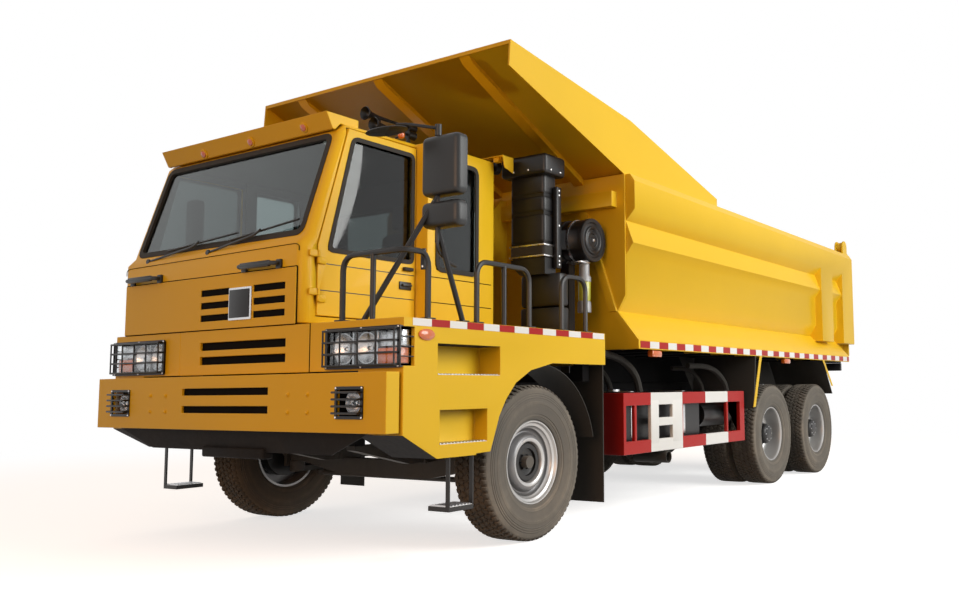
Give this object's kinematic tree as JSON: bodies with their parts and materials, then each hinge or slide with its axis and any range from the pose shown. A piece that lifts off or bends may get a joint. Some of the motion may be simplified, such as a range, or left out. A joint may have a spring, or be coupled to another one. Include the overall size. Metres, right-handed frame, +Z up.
{
  "type": "dump truck",
  "caption": "Heavy dump truck with an offset cab, a ribbed tipping bed with a canopy over the cab, a top-hung tailgate and twin rear wheels.",
  "frame": {"origin": "on the ground, under the centre of the whole truck's box", "axes": "+Z up, -Y is the way the truck drives, +X is the truck's left"},
  "size_m": [3.4, 9.199, 3.6928],
  "materials": {
    "yellow_paint": "semi-gloss paint, dusty",
    "black_paint": "satin",
    "red_paint": "satin",
    "axle_iron": "matt, dusty",
    "tyre_rubber": "matt, dusty",
    "rim_paint": "silver, dusty",
    "window_glass": "clear",
    "lamp_plastic": "clear gloss",
    "trim_plastic": "grained",
    "seat_fabric": "woven",
    "guard_rubber": "matt",
    "bare_steel": "polished rod",
    "grey_paint": "satin"
  },
  "bodies": {
    "chassis": {"chassis_frame": "black_paint", "front_axle": "axle_iron", "leaf_springs": "axle_iron", "driven_axles": "axle_iron", "engine_block": "axle_iron", "drive_line": "axle_iron", "radiator": "grey_paint", "tanks": "black_paint", "battery_box": "black_paint", "muffler": "grey_paint", "side_guards": "red_paint", "front_mudflaps": "guard_rubber", "cab_shell": "yellow_paint", "cab_glass": "window_glass", "dashboard": "trim_plastic", "seats": "seat_fabric", "sun_visor": "yellow_paint", "mirror_left": "trim_plastic", "bumper": "yellow_paint", "front_apron": "yellow_paint", "fenders": "yellow_paint", "front_lamps": "lamp_plastic", "lamp_guards": "black_paint", "hanging_steps": "black_paint", "handrails": "black_paint", "intake_stack": "black_paint", "air_filter": "black_paint"},
    "steering_left": {"knuckle_left": "axle_iron"},
    "steering_right": {"knuckle_right": "axle_iron"},
    "track_rod": {"tie_rod": "axle_iron"},
    "left_door": {"door_left": "yellow_paint", "door_glass_left": "window_glass"},
    "right_door": {"door_right": "yellow_paint", "door_glass_right": "window_glass", "mirror_right": "trim_plastic"},
    "bed": {"bed_sides": "yellow_paint", "bed_front_wall": "yellow_paint", "bed_floor": "yellow_paint", "canopy": "yellow_paint", "mudguards": "guard_rubber"},
    "gate": {"tailgate": "yellow_paint"},
    "hoist_outer": {"hoist_barrel": "red_paint"},
    "hoist_tube_1": {"hoist_stage_1": "bare_steel"},
    "hoist_tube_2": {"hoist_stage_2": "bare_steel"},
    "hoist_tube_3": {"hoist_stage_3": "bare_steel"},
    "hoist_tube_4": {"hoist_stage_4": "bare_steel"},
    "wheel_front_left": {"tyre_front_left": "tyre_rubber", "rim_front_left": "rim_paint"},
    "wheel_front_right": {"tyre_front_right": "tyre_rubber", "rim_front_right": "rim_paint"},
    "wheels_mid_left": {"tyres_mid_left": "tyre_rubber", "rims_mid_left": "rim_paint"},
    "wheels_mid_right": {"tyres_mid_right": "tyre_rubber", "rims_mid_right": "rim_paint"},
    "wheels_rear_left": {"tyres_rear_left": "tyre_rubber", "rims_rear_left": "rim_paint"},
    "wheels_rear_right": {"tyres_rear_right": "tyre_rubber", "rims_rear_right": "rim_paint"}
  },
  "joints": [
    {"name": "bed_tip", "type": "hinge", "parent": "chassis", "child": "bed", "pos_m": [0, 3.4995, 1.253], "axis": [-1, 0, 0], "range_deg": [0, 45]},
    {"name": "gate_swing", "type": "hinge", "parent": "bed", "child": "gate", "pos_m": [0, 4.2095, 3.085], "axis": [1, 0, 0], "range_deg": [0, 60]},
    {"name": "hoist_lean", "type": "hinge", "parent": "chassis", "child": "hoist_outer", "pos_m": [0, -2.2205, 0.93], "axis": [-1, 0, 0], "range_deg": [0, 23.82]},
    {"name": "hoist_slide_1", "type": "slide", "parent": "hoist_outer", "child": "hoist_tube_1", "axis": [0, 0.0492, 0.9988], "range_m": [0, 1.06519]},
    {"name": "hoist_slide_2", "type": "slide", "parent": "hoist_tube_1", "child": "hoist_tube_2", "axis": [0, 0.0492, 0.9988], "range_m": [0, 1.06519]},
    {"name": "hoist_slide_3", "type": "slide", "parent": "hoist_tube_2", "child": "hoist_tube_3", "axis": [0, 0.0492, 0.9988], "range_m": [0, 1.06519]},
    {"name": "hoist_slide_4", "type": "slide", "parent": "hoist_tube_3", "child": "hoist_tube_4", "axis": [0, 0.0492, 0.9988], "range_m": [0, 1.06519]},
    {"name": "left_door_swing", "type": "hinge", "parent": "chassis", "child": "left_door", "pos_m": [0.645, -4.3045, 1.9], "axis": [0, 0, -1], "range_deg": [0, 65]},
    {"name": "right_door_swing", "type": "hinge", "parent": "chassis", "child": "right_door", "pos_m": [-1.525, -4.3045, 1.9], "axis": [0, 0, 1], "range_deg": [0, 65]},
    {"name": "steer_left", "type": "hinge", "parent": "chassis", "child": "steering_left", "pos_m": [1.12, -3.0545, 0.5625], "axis": [0, 0, 1], "range_deg": [-32, 32]},
    {"name": "steer_right", "type": "hinge", "parent": "chassis", "child": "steering_right", "pos_m": [-1.12, -3.0545, 0.5625], "axis": [0, 0, 1], "range_deg": [-32, 32]},
    {"name": "track_rod_turn", "type": "hinge", "parent": "steering_left", "child": "track_rod", "pos_m": [1.12, -2.7945, 0.3705], "axis": [0, 0, 1], "range_deg": [-32, 32]},
    {"name": "roll_front_left", "type": "hinge", "parent": "steering_left", "child": "wheel_front_left", "pos_m": [1.3675, -3.0545, 0.5625], "axis": [1, 0, 0], "continuous": true},
    {"name": "roll_front_right", "type": "hinge", "parent": "steering_right", "child": "wheel_front_right", "pos_m": [-1.3675, -3.0545, 0.5625], "axis": [1, 0, 0], "continuous": true},
    {"name": "roll_mid_left", "type": "hinge", "parent": "chassis", "child": "wheels_mid_left", "pos_m": [1.1925, 1.3695, 0.5625], "axis": [1, 0, 0], "continuous": true},
    {"name": "roll_mid_right", "type": "hinge", "parent": "chassis", "child": "wheels_mid_right", "pos_m": [-1.1925, 1.3695, 0.5625], "axis": [1, 0, 0], "continuous": true},
    {"name": "roll_rear_left", "type": "hinge", "parent": "chassis", "child": "wheels_rear_left", "pos_m": [1.1925, 2.8165, 0.5625], "axis": [1, 0, 0], "continuous": true},
    {"name": "roll_rear_right", "type": "hinge", "parent": "chassis", "child": "wheels_rear_right", "pos_m": [-1.1925, 2.8165, 0.5625], "axis": [1, 0, 0], "continuous": true}
  ],
  "couplings": [
    {"joint": "hoist_lean", "follows": "bed_tip", "ratio": 0.51831},
    {"joint": "hoist_slide_1", "follows": "bed_tip", "m_per_rad": 1.3537},
    {"joint": "hoist_slide_2", "follows": "bed_tip", "m_per_rad": 1.3537},
    {"joint": "hoist_slide_3", "follows": "bed_tip", "m_per_rad": 1.3537},
    {"joint": "hoist_slide_4", "follows": "bed_tip", "m_per_rad": 1.3537},
    {"joint": "steer_right", "follows": "steer_left", "ratio": 1},
    {"joint": "track_rod_turn", "follows": "steer_left", "ratio": -1}
  ]
}
